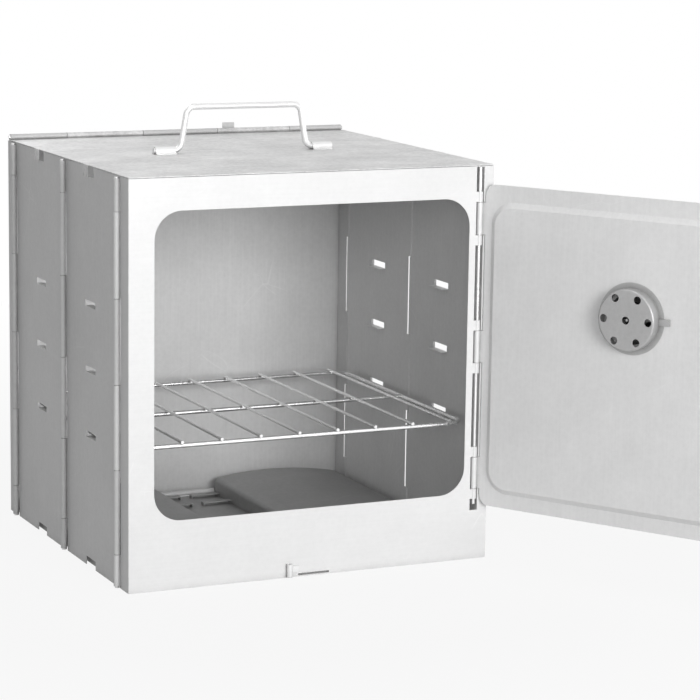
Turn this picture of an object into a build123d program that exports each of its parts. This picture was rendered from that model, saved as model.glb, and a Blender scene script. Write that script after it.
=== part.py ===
"""Folding camp oven: a sheet-metal box that stands over a camp stove burner.

Millimetres. The origin is at the centre of the base: +X to the right, +Y to the back and +Z up.
The front and back are shallow pans. Each side wall is two leaves on three vertical pin hinges.
"""
import math
import os

from build123d import *

os.makedirs("parts", exist_ok=True)

# ---- Driving dimensions: the box ----------------------------------------------------------------
box_depth = 292.0            # outside faces of the front and back pans
box_height = 318.0           # upper face of the top panel
sheet = 0.6                  # gauge of every panel
pan_depth = 20.5             # hinge line of a pan's side flange, from the pan's outside face
pan_top_flange = 14.0        # depth of the turned-in top edge of either pan
front_bottom_flange = 14.0
back_bottom_flange = 6.0
panel_gap = 0.4              # air between stacked sheets that move apart

# ---- Driving dimensions: rolled hinges ----------------------------------------------------------
barrel_radius = 2.5
pin_radius = 1.25
pin_clearance = 0.05         # radial, pin in its barrel
pin_head_radius = 1.6
pin_head_height = 1.2
pin_end_play = 0.2
knuckle_gap = 0.5            # along the pin, between neighbouring knuckles
notch_depth = 3.6            # from the pin's axis to a leaf's cut-back edge
back_notch_depth = 2.8       # the same, for the back pan
wall_knuckle_pitch = 66.0    # the four middle knuckles of a vertical hinge
lid_knuckle_pitch = 68.0     # the three middle knuckles of the top panel's hinge
lid_hinge_inset = 1.0        # from the side wall's plane to the end of the top hinge
floor_knuckle_pitch = 64.0
floor_hinge_inset = 12.0

# ---- Driving dimensions: side walls -------------------------------------------------------------
slot_offset = 60.0           # rack slots, fore and aft of the middle hinge
slot_length = 23.5
slot_height = 5.0
slot_rows = [106.0, 158.0, 210.0]
ledge_depth = 5.6            # how far a lanced ledge stands into the oven
slot_end_depth = 1.2         # the same, for the turned-in rear end of each slot
top_notch_width = 22.0
top_notch_shift = 3.0        # notch's middle, behind the slots' middle
top_notch_depth = 8.0
bottom_notch_width = 22.0
bottom_notch_height = 7.0

# ---- Driving dimensions: front frame and door ---------------------------------------------------
opening_width = 264.0
frame_side = 20.5            # door opening to the side wall's outside face
opening_bottom = 54.0
frame_head = 26.0            # door opening to the upper face of the top panel
opening_corner = 22.0
door_axis_inset = 11.2       # the hinge rod, from the right side wall's outside face
door_rod_radius = 1.5
door_barrel_radius = 2.4
door_slot_left = 3.8         # slot edges, from the rod's axis
door_slot_right = 2.8
door_swing_right = 4.4       # right edge beside a door knuckle, where the leaf swings
door_slot_below = 14.0       # slot's lower end, below the opening
door_rod_foot = 5.0          # rod's foot, above the slot's lower end
door_knuckle_inset = 16.5    # outer knuckles' middles, from the opening's ends
door_knuckle_length = 25.4
frame_tab_length = 8.0
door_gap = 0.3               # closed door to the front face
door_lap_side = 10.7         # door's free edge past the opening
door_rim_start = 4.5         # rod axis to the door's hinge-side edge
door_lap_bottom = 9.5        # door's edges past the opening
door_lap_top = 11.0
door_corner = 9.0
door_hem_width = 6.0
door_open_angle = 121.5      # from closed, as it stands on its stop
emboss_hinge_gap = 1.2       # raised field inside the opening, at the hinge side
emboss_free_gap = 3.3        # at the free side
emboss_end_gap = 2.0         # at the top and bottom
emboss_corner_step = 3.0     # the field's corner radius, less than the opening's
emboss_height = 3.0
emboss_slope = 55.0          # sides, from square to the sheet

# ---- Driving dimensions: door thermometer -------------------------------------------------------
gauge_shift = 2.25           # gauge's centre, from the raised field's middle towards the rod
gauge_rise = 37.0            # gauge's centre, above the opening's middle
gauge_hole_radius = 20.0
guard_radius = 24.0
guard_flange_radius = 28.0
guard_depth = 10.0
guard_hole_radius = 3.1
guard_hole_ring = 19.0
guard_hole_count = 6
guard_sheet = 0.6
guard_rounding = 1.5         # cup's face into its side
guard_clip_width = 5.0
guard_clip_length = 9.0
case_radius = 26.0
case_wall = 2.0
case_depth = 8.0
case_back = 0.8
dial_thickness = 0.4
dial_gap = 0.3               # dial and lens to the case's wall
lens_thickness = 1.0
lens_inset = 0.6
pointer_length = 17.0
pointer_tail = 8.0
pointer_hub_radius = 2.4
pointer_width = 1.6
pointer_thickness = 0.5
pointer_height = 2.0         # above the dial
pointer_rest_angle = 45.0    # cold end of the scale
spindle_radius = 1.0
spindle_depth = 8.0          # into the guard, from the door's inside face
coil_inner_radius = 2.6
coil_pitch = 2.2
coil_turns = 5
coil_strip = 0.7
coil_width = 4.0
coil_stub_width = 2.0
coil_steps = 12              # curve points in each turn of the strip

# ---- Driving dimensions: door latch -------------------------------------------------------------
latch_edge = 27.0            # latch spindle, from the door's free edge
latch_rise = 0.0             # latch spindle, above the opening's middle
latch_spindle_radius = 2.5
latch_clearance = 0.05
latch_play = 0.3             # handle and tongue to the door's faces
latch_tongue_length = 23.0
latch_tongue_width = 8.0
latch_tongue_thickness = 1.0
latch_handle_length = 36.0
latch_handle_width = 9.0
latch_handle_thickness = 5.0
latch_hub_radius = 7.0
latch_hub_height = 4.0

# ---- Driving dimensions: top panel and handle ---------------------------------------------------
lid_tab_width = 10.5
lid_tab_length = 9.5
lid_tab_offset = 5.5         # behind the middle of the wall's notch
lid_tab_gap = 0.25           # tab to the wall's outside face
handle_wire = 2.4
handle_foot_end = 78.0
handle_foot_bend = 55.0
handle_shoulder = 49.0
handle_rise = 34.5           # foot's axis to the grip's axis
handle_bend = 7.0
handle_lift = 0.3            # bail's feet above the top panel
clip_start = 60.0
clip_length = 17.0
clip_sheet = 0.9
clip_clearance = 0.08
clip_flange = 2.4

# ---- Driving dimensions: bottom panel and heat baffles ------------------------------------------
side_play = 3.4              # bottom panel and rack, each side, to the walls' inside faces
floor_side_flange = 11.0
floor_flange_front_gap = 9.5 # side flanges' front ends, from the floor's front edge
floor_flange_back_gap = 10.0 # their rear ends, from the bottom hinge's axis
floor_front_gap = 0.5
floor_tongue_offset = 90.0
floor_tongue_width = 20.0
floor_tongue_reach = 9.0
baffle_inner = 31.0          # inner leg of either baffle, from the middle
baffle_edge_gap = 1.7        # outer leg to the floor's side flange
baffle_shoulder = 15.2
baffle_crown = 19.0
baffle_outer = 12.5
baffle_shoulder_radius = 4.0
baffle_front_gap = 23.5      # baffles' front ends, from the floor's front edge
baffle_back_gap = 5.0        # their rear ends, from the bottom hinge's axis
baffle_foot = 6.0
baffle_tongue_length = 26.0
baffle_tongue_width = 6.0
baffle_tongue_height = 3.0
baffle_tongue_insets = [8.0, 36.0]               # tongues' middles, from either end of a baffle
heat_slot_length = 74.0
heat_slot_width = 10.0
heat_slot_centre = 88.0
heat_slot_front_inset = 28.0 # first slot's middle, from a baffle's front end
heat_slot_back_inset = 40.0  # last slot's middle, from its rear end
heat_slot_count = 6
rivet_radius = 1.5
rivet_head_radius = 2.8
rivet_head_height = 1.1
rivet_front_inset = 13.0     # end rivets, from a baffle's ends
rivet_back_inset = 23.0

# ---- Driving dimensions: rack, front catch and lid stop -----------------------------------------
rack_wire = 1.8
rack_bar_radius = 1.3
rack_bar_bite = 0.3          # weld depth, bar into frame wire
rack_end_gap = 8.5           # rack's front and back wires, from the pans' hinge lines
rack_corner = 17.0
rack_bar_edge = 15.1         # outermost bar to the frame's side wire
rack_bar_count = 9
rack_lift = 0.3              # rack wire above its ledges
rack_bar_overhang = 0.8      # bar's end past the frame wire's outside
catch_left = -20.0
catch_right = -11.8
catch_low = 4.0
catch_high = 9.0
catch_thickness = 0.9
catch_curl_radius = 2.3
catch_curl_low = 0.8
catch_curl_high = 11.2
catch_slot_right = 14.5
catch_slot_low = 0.9
catch_slot_high = 2.6
stop_tab_x = 46.0
stop_tab_width = 11.0
stop_tab_height = 4.5

# ---- Worked-out sizes ---------------------------------------------------------------------------
box_width = opening_width + 2 * frame_side
half_width = box_width / 2
half_depth = box_depth / 2
wall_inside = half_width - sheet
front_line = pan_depth - half_depth
back_line = half_depth - pan_depth
barrel_bore = pin_radius + pin_clearance
barrel_offset = barrel_radius - sheet            # pin axis outside the leaf's outer face
wall_pin_x = half_width + barrel_offset
opening_half = opening_width / 2
opening_top = box_height - frame_head
opening_middle = (opening_top + opening_bottom) / 2
lid_bottom = box_height - sheet
wall_top = lid_bottom - panel_gap
lid_axis_y = half_depth - barrel_radius
lid_axis_z = lid_bottom + barrel_radius
floor_axis_y = half_depth - back_bottom_flange
floor_axis_z = barrel_radius
floor_front = front_bottom_flange + floor_front_gap - half_depth
floor_flange_front = floor_front + floor_flange_front_gap
floor_flange_back = floor_axis_y - floor_flange_back_gap
baffle_front = floor_front + baffle_front_gap
baffle_back = floor_axis_y - baffle_back_gap
heat_slot_first = baffle_front + heat_slot_front_inset
heat_slot_last = baffle_back - heat_slot_back_inset
heat_slot_pitch = (heat_slot_last - heat_slot_first) / (heat_slot_count - 1)
rivet_first = baffle_front + rivet_front_inset
rivet_last = baffle_back - rivet_back_inset
rivet_places = [rivet_first, (rivet_first + rivet_last) / 2, rivet_last]
door_axis_y = -half_depth - door_gap - sheet + door_barrel_radius
door_bore = door_rod_radius + pin_clearance
door_axis_x = half_width - door_axis_inset
door_slot_bottom = opening_bottom - door_slot_below
door_slot_top = wall_top - sheet                 # under the front pan's turned-in top edge
door_rod_bottom = door_slot_bottom + door_rod_foot
door_knuckle_centres = [
    opening_bottom + door_knuckle_inset,
    opening_middle,
    opening_top - door_knuckle_inset,
]
door_reach = door_axis_x + opening_half + door_lap_side       # rod axis to the door's free edge
door_bottom = opening_bottom - door_lap_bottom
door_top = opening_top + door_lap_top
emboss_start = door_axis_x - opening_half + emboss_hinge_gap
emboss_end = door_axis_x + opening_half - emboss_free_gap
emboss_bottom = opening_bottom + emboss_end_gap
emboss_corner = opening_corner - emboss_corner_step
emboss_top = opening_top - emboss_end_gap
gauge_reach = (emboss_start + emboss_end) / 2 - gauge_shift
gauge_height = opening_middle + gauge_rise
latch_reach = door_reach - latch_edge
latch_height = opening_middle + latch_rise
door_outer = door_barrel_radius                  # outer face of the door sheet, in the door's own frame
door_inner = door_barrel_radius - sheet
door_plateau = door_inner - emboss_height        # inside face of the raised field
door_place = Pos(door_axis_x, door_axis_y, 0) * Rot(0, 0, 180 + door_open_angle)
gauge_place = door_place * Pos(gauge_reach, 0, gauge_height)
latch_place = door_place * Pos(latch_reach, 0, latch_height)
panel_edge = wall_inside - side_play


def block(x_range, y_range, z_range):
    """A box between two limits on each axis, given in either order."""
    low = [min(pair) for pair in (x_range, y_range, z_range)]
    high = [max(pair) for pair in (x_range, y_range, z_range)]
    middle = [(a + b) / 2 for a, b in zip(low, high)]
    return Pos(*middle) * Box(high[0] - low[0], high[1] - low[1], high[2] - low[2])


def rod_z(x, y, radius, z_low, z_high):
    """An upright round bar."""
    return Pos(x, y, (z_low + z_high) / 2) * Cylinder(radius, z_high - z_low)


def rod_x(y, z, radius, x_low, x_high):
    """A round bar along X."""
    return Pos((x_low + x_high) / 2, y, z) * Rot(0, 90, 0) * Cylinder(radius, x_high - x_low)


def rod_y(x, z, radius, y_low, y_high):
    """A round bar along Y."""
    return Pos(x, (y_low + y_high) / 2, z) * Rot(90, 0, 0) * Cylinder(radius, y_high - y_low)


def knuckle_bands(low, high, pitch, middle_count):
    """Limits of a row of knuckles: equal ones in the middle, and an end one at each side."""
    end = ((high - low) - pitch * middle_count) / 2
    cuts = [low] + [low + end + pitch * k for k in range(middle_count + 1)] + [high]
    return list(zip(cuts[:-1], cuts[1:]))


def save(node, shape):
    """Write one named sub-part."""
    shape.label = node
    export_step(shape, f"parts/{node}.step")


# ---- Side wall hinges ---------------------------------------------------------------------------
barrel_low = pin_head_height + panel_gap
barrel_high = wall_top - pin_head_height - panel_gap
wall_bands = knuckle_bands(barrel_low, barrel_high, wall_knuckle_pitch, 4)
upper_set = range(1, len(wall_bands), 2)         # bands counted from the bottom, with the topmost
lower_set = range(0, len(wall_bands), 2)


def band_limits(bands, index, low_end, high_end):
    """Limits of one band, with the end bands run out to the ends of the leaf."""
    z_low = low_end if index == 0 else bands[index][0]
    z_high = high_end if index == len(bands) - 1 else bands[index][1]
    return z_low, z_high


def hinged_edge(leaf, side, axis_y, inward, own_bands, cut_back=notch_depth):
    """Roll one upright edge of a side leaf: barrels on its own bands, notches on the others."""
    skin = (side * wall_inside, side * half_width)
    cut_skin = (side * (wall_inside - sheet), side * (half_width + sheet))
    for index in range(len(wall_bands)):
        low, high = band_limits(wall_bands, index, -sheet, wall_top + sheet)
        if index not in own_bands:
            notch = (axis_y - inward * sheet, axis_y + inward * cut_back)
            leaf -= block(cut_skin, notch, (low - knuckle_gap / 2, high + knuckle_gap / 2))
    for index in own_bands:
        low, high = wall_bands[index]
        low += knuckle_gap / 2 if index > 0 else 0
        high -= knuckle_gap / 2 if index < len(wall_bands) - 1 else 0
        root = block(skin, (axis_y, axis_y + inward * notch_depth), (low, high))
        ring = rod_z(side * wall_pin_x, axis_y, barrel_radius, low, high)
        ring -= rod_z(side * wall_pin_x, axis_y, barrel_bore, low - sheet, high + sheet)
        leaf += root
        leaf += ring
    return leaf


def wall_pin(side, axis_y):
    """A hinge pin with an upset head at each end, hanging on the topmost barrel."""
    x = side * wall_pin_x
    pin = rod_z(x, axis_y, pin_radius, barrel_low - pin_end_play, barrel_high)
    foot_high = barrel_low - pin_end_play
    pin += rod_z(x, axis_y, pin_head_radius, foot_high - pin_head_height, foot_high)
    pin += rod_z(x, axis_y, pin_head_radius, barrel_high, barrel_high + pin_head_height)
    return pin


def side_wall(side, y_low, y_high, low_bands, high_bands):
    """One leaf of a side wall, with its rack slots, ledges and edge notches."""
    skin = (side * wall_inside, side * half_width)
    cut_skin = (side * (wall_inside - sheet), side * (half_width + sheet))
    leaf = block(skin, (y_low, y_high), (0, wall_top))
    leaf = hinged_edge(leaf, side, y_low, 1, low_bands)
    leaf = hinged_edge(leaf, side, y_high, -1, high_bands)
    middle = math.copysign(slot_offset, y_low + y_high)
    slot_span = (middle - slot_length / 2, middle + slot_length / 2)
    for row in slot_rows:
        slot_low = row - slot_height / 2
        leaf -= block(cut_skin, slot_span, (slot_low, slot_low + slot_height))
        ledge_reach = (side * (wall_inside - ledge_depth), side * wall_inside)
        leaf += block(ledge_reach, slot_span, (slot_low - sheet, slot_low))
        end_reach = (side * (wall_inside - slot_end_depth), side * half_width)
        end_span = (slot_span[1] - sheet, slot_span[1])
        leaf += block(end_reach, end_span, (slot_low - sheet, slot_low + slot_height))
    top_middle = middle + top_notch_shift
    top_span = (top_middle - top_notch_width / 2, top_middle + top_notch_width / 2)
    leaf -= block(cut_skin, top_span, (wall_top - top_notch_depth, wall_top + sheet))
    bottom_span = (middle - bottom_notch_width / 2, middle + bottom_notch_width / 2)
    leaf -= block(cut_skin, bottom_span, (-sheet, bottom_notch_height))
    return leaf


for side, side_name in ((-1, "left"), (1, "right")):
    save(f"{side_name}_front_wall", side_wall(side, front_line, 0, upper_set, upper_set))
    save(f"{side_name}_rear_wall", side_wall(side, 0, back_line, lower_set, upper_set))
    save(f"{side_name}_front_hinge_pin", wall_pin(side, front_line))
    save(f"{side_name}_middle_hinge_pin", wall_pin(side, 0))
    save(f"{side_name}_rear_hinge_pin", wall_pin(side, back_line))


# ---- Front frame --------------------------------------------------------------------------------
def front_pan():
    """The front sheet with its turned edges and door opening."""
    face = (-half_depth, sheet - half_depth)
    pan = block((-half_width, half_width), face, (0, wall_top))
    hole = RectangleRounded(opening_width, opening_top - opening_bottom, opening_corner)
    pan -= Pos(0, sheet - half_depth, opening_middle) * Rot(90, 0, 0) * extrude(hole, 2 * sheet, both=True)
    inner = (-wall_inside, wall_inside)
    pan += block(inner, (-half_depth, pan_top_flange - half_depth), (wall_top - sheet, wall_top))
    pan += block(inner, (-half_depth, front_bottom_flange - half_depth), (0, sheet))
    for side in (-1, 1):
        flange = block((side * wall_inside, side * half_width), (-half_depth, front_line), (0, wall_top))
        pan += hinged_edge(flange, side, front_line, -1, lower_set)
    return pan


def door_hinge_tabs():
    """Lanced tabs of the front sheet, curled round the door's rod above and below each knuckle."""
    tabs = []
    for centre in door_knuckle_centres:
        for way in (-1, 1):
            near = centre + way * (door_knuckle_length / 2 + knuckle_gap)
            low, high = sorted((near, near + way * frame_tab_length))
            ring = rod_z(door_axis_x, door_axis_y, door_barrel_radius, low, high)
            web_x = (door_axis_x - door_slot_left - sheet, door_axis_x - door_barrel_radius + sheet)
            ring += block(web_x, (-half_depth, sheet - half_depth), (low, high))
            ring -= rod_z(door_axis_x, door_axis_y, door_bore, low - sheet, high + sheet)
            tabs.append(ring)
    return tabs


frame = front_pan()
door_slot_x = (door_axis_x - door_slot_left, door_axis_x + door_slot_right)
frame_skin = (-half_depth - sheet, 2 * sheet - half_depth)
frame -= block(door_slot_x, frame_skin, (door_slot_bottom, door_slot_top))
swing_x = (door_axis_x, door_axis_x + door_swing_right)
for centre in door_knuckle_centres:
    reach = door_knuckle_length / 2 + knuckle_gap
    frame -= block(swing_x, frame_skin, (centre - reach, centre + reach))
for tab in door_hinge_tabs():
    frame += tab
frame -= block((catch_right, catch_slot_right), frame_skin, (catch_slot_low, catch_slot_high))
save("front_frame", frame)

door_rod = rod_z(door_axis_x, door_axis_y, door_rod_radius, door_rod_bottom, door_slot_top - panel_gap)
save("door_hinge_rod", door_rod)

# The bottom catch is a strip welded to the front face, with its left end widened and curled.
catch_y = (-half_depth - catch_thickness, -half_depth)
catch = block((catch_left, catch_right), catch_y, (catch_low, catch_high))
curl_y = -half_depth - catch_curl_radius
curl = rod_z(catch_left, curl_y, catch_curl_radius, catch_curl_low, catch_curl_high)
past_curl = (catch_curl_low - sheet, catch_curl_high + sheet)
curl -= rod_z(catch_left, curl_y, catch_curl_radius - catch_thickness, *past_curl)
mouth = block((catch_left, catch_left + 2 * catch_curl_radius),
              (curl_y, -half_depth - catch_thickness), past_curl)
save("front_catch", catch + (curl - mouth))


# ---- Back panel and the two long hinges ---------------------------------------------------------
lid_hinge_end = half_width - lid_hinge_inset
lid_bands = knuckle_bands(-lid_hinge_end, lid_hinge_end, lid_knuckle_pitch, 3)
floor_hinge_end = panel_edge - floor_hinge_inset
floor_bands = knuckle_bands(-floor_hinge_end, floor_hinge_end, floor_knuckle_pitch, 3)
pan_bands = range(0, len(lid_bands), 2)          # knuckles of the back panel on both long hinges
leaf_bands = range(1, len(lid_bands), 2)         # knuckles of the top and bottom panels


def long_barrels(bands, own_bands, axis_y, axis_z):
    """Barrels along X on the given bands."""
    rings = []
    for index in own_bands:
        low = bands[index][0] + (knuckle_gap / 2 if index > 0 else 0)
        high = bands[index][1] - (knuckle_gap / 2 if index < len(bands) - 1 else 0)
        ring = rod_x(axis_y, axis_z, barrel_radius, low, high)
        rings.append(ring - rod_x(axis_y, axis_z, barrel_bore, low - sheet, high + sheet))
    return rings


def back_pan():
    """The back sheet with its turned edges, and its knuckles of all four hinges."""
    face = (half_depth - sheet, half_depth)
    pan = block((-half_width, half_width), face, (0, lid_axis_z))
    inner = (-wall_inside, wall_inside)
    pan += block(inner, (half_depth - pan_top_flange, half_depth), (wall_top - sheet, wall_top))
    pan += block(inner, (floor_axis_y, half_depth), (0, sheet))
    for side in (-1, 1):
        outer = (side * (half_width + sheet), side * (half_width - lid_hinge_inset))
        pan -= block(outer, (half_depth - 2 * sheet, half_depth + sheet), (wall_top, lid_axis_z + sheet))
        flange = block((side * wall_inside, side * half_width), (back_line, half_depth), (0, wall_top))
        pan += hinged_edge(flange, side, back_line, 1, lower_set, back_notch_depth)
    for index in leaf_bands:
        low, high = lid_bands[index]
        notch_x = (low - knuckle_gap / 2, high + knuckle_gap / 2)
        pan -= block(notch_x, (half_depth - 2 * sheet, half_depth + sheet), (wall_top, lid_axis_z + sheet))
        low, high = floor_bands[index]
        notch_x = (low - knuckle_gap / 2, high + knuckle_gap / 2)
        pan -= block(notch_x, (floor_axis_y - sheet, floor_axis_y + notch_depth), (-sheet, 2 * sheet))
    for ring in long_barrels(lid_bands, pan_bands, lid_axis_y, lid_axis_z):
        pan += ring
    for ring in long_barrels(floor_bands, pan_bands, floor_axis_y, floor_axis_z):
        pan += ring
    return pan


save("back_panel", back_pan())


def long_pin(bands, axis_y, axis_z):
    """A hinge pin along X, with an upset head at each end."""
    low = bands[0][0]
    high = bands[-1][1]
    pin = rod_x(axis_y, axis_z, pin_radius, low, high)
    pin += rod_x(axis_y, axis_z, pin_head_radius, low - pin_head_height, low)
    pin += rod_x(axis_y, axis_z, pin_head_radius, high, high + pin_head_height)
    return pin


save("top_hinge_pin", long_pin(lid_bands, lid_axis_y, lid_axis_z))
save("bottom_hinge_pin", long_pin(floor_bands, floor_axis_y, floor_axis_z))

# A tab stands up behind the top hinge, and stops the top panel when it leans past upright.
stop_tab = block((stop_tab_x - stop_tab_width / 2, stop_tab_x + stop_tab_width / 2),
                 (half_depth, half_depth + sheet),
                 (wall_top - stop_tab_height, lid_axis_z + barrel_radius + stop_tab_height))
save("lid_stop_tab", stop_tab)


# ---- Top panel ----------------------------------------------------------------------------------
def top_panel():
    """The lid sheet, with four tabs that drop outside the walls and its share of the hinge."""
    lid = block((-half_width, half_width), (-half_depth, lid_axis_y), (lid_bottom, box_height))
    for index in pan_bands:
        low, high = band_limits(lid_bands, index, -half_width - sheet, half_width + sheet)
        notch_x = (low - knuckle_gap / 2, high + knuckle_gap / 2)
        notch_y = (lid_axis_y - notch_depth, lid_axis_y + sheet)
        lid -= block(notch_x, notch_y, (lid_bottom - sheet, box_height + sheet))
    for ring in long_barrels(lid_bands, leaf_bands, lid_axis_y, lid_axis_z):
        lid += ring
    for side in (-1, 1):
        tab_inside = half_width + lid_tab_gap
        for middle in (-slot_offset, slot_offset):
            centre = middle + top_notch_shift + lid_tab_offset
            span = (centre - lid_tab_width / 2, centre + lid_tab_width / 2)
            lid += block((side * wall_inside, side * (tab_inside + sheet)), span, (lid_bottom, box_height))
            drop = (box_height - lid_tab_length, box_height)
            lid += block((side * tab_inside, side * (tab_inside + sheet)), span, drop)
    return lid


save("top_panel", top_panel())


# ---- Handle -------------------------------------------------------------------------------------
handle_axis_z = box_height + handle_wire + handle_lift


def wire(points, bends, radius):
    """A round wire along straight runs joined by tangent bends."""
    path = FilletPolyline(*points, radius=bends)
    start = path.location_at(0)
    return sweep(start * Circle(radius), path=path)


handle_points = [
    (-handle_foot_end, 0, handle_axis_z),
    (-handle_foot_bend, 0, handle_axis_z),
    (-handle_shoulder, 0, handle_axis_z + handle_rise),
    (handle_shoulder, 0, handle_axis_z + handle_rise),
    (handle_foot_bend, 0, handle_axis_z),
    (handle_foot_end, 0, handle_axis_z),
]
save("handle_bail", wire(handle_points, handle_bend, handle_wire))


def handle_clip(side):
    """A saddle strap welded to the lid, over one foot of the bail."""
    x_low, x_high = sorted((side * clip_start, side * (clip_start + clip_length)))
    bore = handle_wire + clip_clearance
    crown = bore + clip_sheet
    clip = rod_x(0, handle_axis_z, crown, x_low, x_high)
    clip += block((x_low, x_high), (-crown, crown), (box_height, handle_axis_z))
    foot = crown + clip_flange
    clip += block((x_low, x_high), (-foot, foot), (box_height, box_height + clip_sheet))
    clip -= rod_x(0, handle_axis_z, bore, x_low - sheet, x_high + sheet)
    clip -= block((x_low - sheet, x_high + sheet), (-bore, bore), (box_height - sheet, handle_axis_z))
    below_lid = (box_height - crown, box_height)
    return clip - block((x_low - sheet, x_high + sheet), (-foot, foot), below_lid)


save("left_handle_clip", handle_clip(-1))
save("right_handle_clip", handle_clip(1))


# ---- Bottom panel -------------------------------------------------------------------------------
def bottom_panel():
    """The floor sheet between the walls, with side flanges, front tongues and heat slots."""
    floor = block((-panel_edge, panel_edge), (floor_front, floor_axis_y), (0, sheet))
    for index in pan_bands:
        low, high = band_limits(floor_bands, index, -panel_edge - sheet, panel_edge + sheet)
        notch_x = (low - knuckle_gap / 2, high + knuckle_gap / 2)
        floor -= block(notch_x, (floor_axis_y - notch_depth, floor_axis_y + sheet), (-sheet, 2 * sheet))
    for ring in long_barrels(floor_bands, leaf_bands, floor_axis_y, floor_axis_z):
        floor += ring
    rest_low = sheet + floor_front_gap
    for side in (-1, 1):
        edge = (side * (panel_edge - sheet), side * panel_edge)
        floor += block(edge, (floor_flange_front, floor_flange_back), (0, floor_side_flange))
        tongue_x = (side * floor_tongue_offset - floor_tongue_width / 2,
                    side * floor_tongue_offset + floor_tongue_width / 2)
        floor += block(tongue_x, (floor_front, floor_front + sheet), (0, rest_low + sheet))
        tongue_y = (floor_front - floor_tongue_reach, floor_front + sheet)
        floor += block(tongue_x, tongue_y, (rest_low, rest_low + sheet))
        for k in range(heat_slot_count):
            place = heat_slot_first + heat_slot_pitch * k
            slot_near = heat_slot_centre - heat_slot_length / 2
            slot_x = (side * slot_near, side * (slot_near + heat_slot_length))
            slot_y = (place - heat_slot_width / 2, place + heat_slot_width / 2)
            floor -= block(slot_x, slot_y, (-sheet, 2 * sheet))
        for x in rivet_columns(side):
            for place in rivet_places:
                floor -= rod_z(x, place, rivet_radius, -sheet, 2 * sheet)
    return floor


def rivet_columns(side):
    """X places of the rivets through a baffle's two feet."""
    outer_leg = panel_edge - sheet - baffle_edge_gap
    return side * (baffle_inner + sheet + baffle_foot / 2), side * (outer_leg - sheet - baffle_foot / 2)


save("bottom_panel", bottom_panel())


def baffle_section(drop):
    """Outline of the space under a baffle's outer skin, or its inner skin when dropped by a gauge."""
    inner_leg = baffle_inner + drop
    outer_leg = panel_edge - sheet - baffle_edge_gap - drop
    shoulder = baffle_shoulder - drop
    crown_x = (inner_leg + outer_leg) / 2
    bend = baffle_shoulder_radius - drop
    corner = Vector(inner_leg + bend, shoulder)
    lines = [
        Line((inner_leg, sheet), (inner_leg, shoulder - bend)),
        RadiusArc((inner_leg, shoulder - bend), (corner.X, corner.Y), bend),
        ThreePointArc((corner.X, corner.Y), (crown_x, baffle_crown - drop), (outer_leg, baffle_outer - drop)),
        Line((outer_leg, baffle_outer - drop), (outer_leg, sheet)),
        Line((outer_leg, sheet), (inner_leg, sheet)),
    ]
    return make_face(lines)


def heat_baffle(side):
    """A crowned cover on two legs, with feet turned in beneath it and tongues into the channel."""
    length = baffle_back - baffle_front
    stand = Pos(0, baffle_back, 0) * Rot(90, 0, 0)
    cover = stand * extrude(baffle_section(0), length)
    cover -= stand * extrude(baffle_section(sheet), length)
    outer_leg = panel_edge - sheet - baffle_edge_gap
    foot_y = (baffle_front, baffle_back)
    foot_z = (sheet, 2 * sheet)
    cover += block((baffle_inner, baffle_inner + sheet + baffle_foot), foot_y, foot_z)
    cover += block((outer_leg - sheet - baffle_foot, outer_leg), foot_y, foot_z)
    for x in rivet_columns(1):
        for place in rivet_places:
            cover -= rod_z(x, place, rivet_radius, 0, 3 * sheet)
    tongue_places = [baffle_front + inset for inset in baffle_tongue_insets]
    tongue_places += [baffle_back - inset for inset in baffle_tongue_insets]
    for place in tongue_places:
        reach = (baffle_inner - baffle_tongue_length, baffle_inner + sheet)
        span = (place - baffle_tongue_width / 2, place + baffle_tongue_width / 2)
        cover += block(reach, span, (baffle_tongue_height, baffle_tongue_height + sheet))
        end = (baffle_inner - baffle_tongue_length, baffle_inner - baffle_tongue_length + sheet)
        cover += block(end, span, (sheet, baffle_tongue_height + sheet))
    return cover if side > 0 else mirror(cover, about=Plane.YZ)


def rivet(x, y, under, over):
    """A pan-head rivet through a stack of sheets, clenched flush underneath."""
    shank = rod_z(x, y, rivet_radius, under, over)
    dome_radius = (rivet_head_radius ** 2 + rivet_head_height ** 2) / (2 * rivet_head_height)
    dome = Pos(x, y, over + rivet_head_height - dome_radius) * Sphere(dome_radius)
    cap = block((x - rivet_head_radius, x + rivet_head_radius),
                (y - rivet_head_radius, y + rivet_head_radius), (over, over + rivet_head_height))
    return shank + (dome & cap)


save("left_heat_baffle", heat_baffle(-1))
save("right_heat_baffle", heat_baffle(1))
baffle_rivets = []
for side in (-1, 1):
    for x in rivet_columns(side):
        for place in rivet_places:
            baffle_rivets.append(rivet(x, place, 0, 2 * sheet))
save("baffle_rivets", Compound(children=baffle_rivets))

# ---- Rack ---------------------------------------------------------------------------------------
rack_x = panel_edge - rack_wire
rack_z = slot_rows[0] - slot_height / 2 + rack_lift + rack_wire
rack_half_depth = back_line - rack_end_gap
rack_bar_pitch = 2 * (rack_x - rack_bar_edge) / (rack_bar_count - 1)
run_x = rack_x - rack_corner
run_y = rack_half_depth - rack_corner
rack_frame = rod_x(0, rack_z, rack_wire, -rack_x, rack_x)
for way in (-1, 1):
    rack_frame += rod_x(way * rack_half_depth, rack_z, rack_wire, -run_x, run_x)
    rack_frame += rod_y(way * rack_x, rack_z, rack_wire, -run_y, run_y)
for quarter, (x_way, y_way) in enumerate(((1, 1), (-1, 1), (-1, -1), (1, -1))):
    bend = Torus(rack_corner, rack_wire, major_angle=90, align=None)
    rack_frame += Pos(x_way * run_x, y_way * run_y, rack_z) * Rot(0, 0, 90 * quarter) * bend
save("rack_frame", rack_frame)

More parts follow.
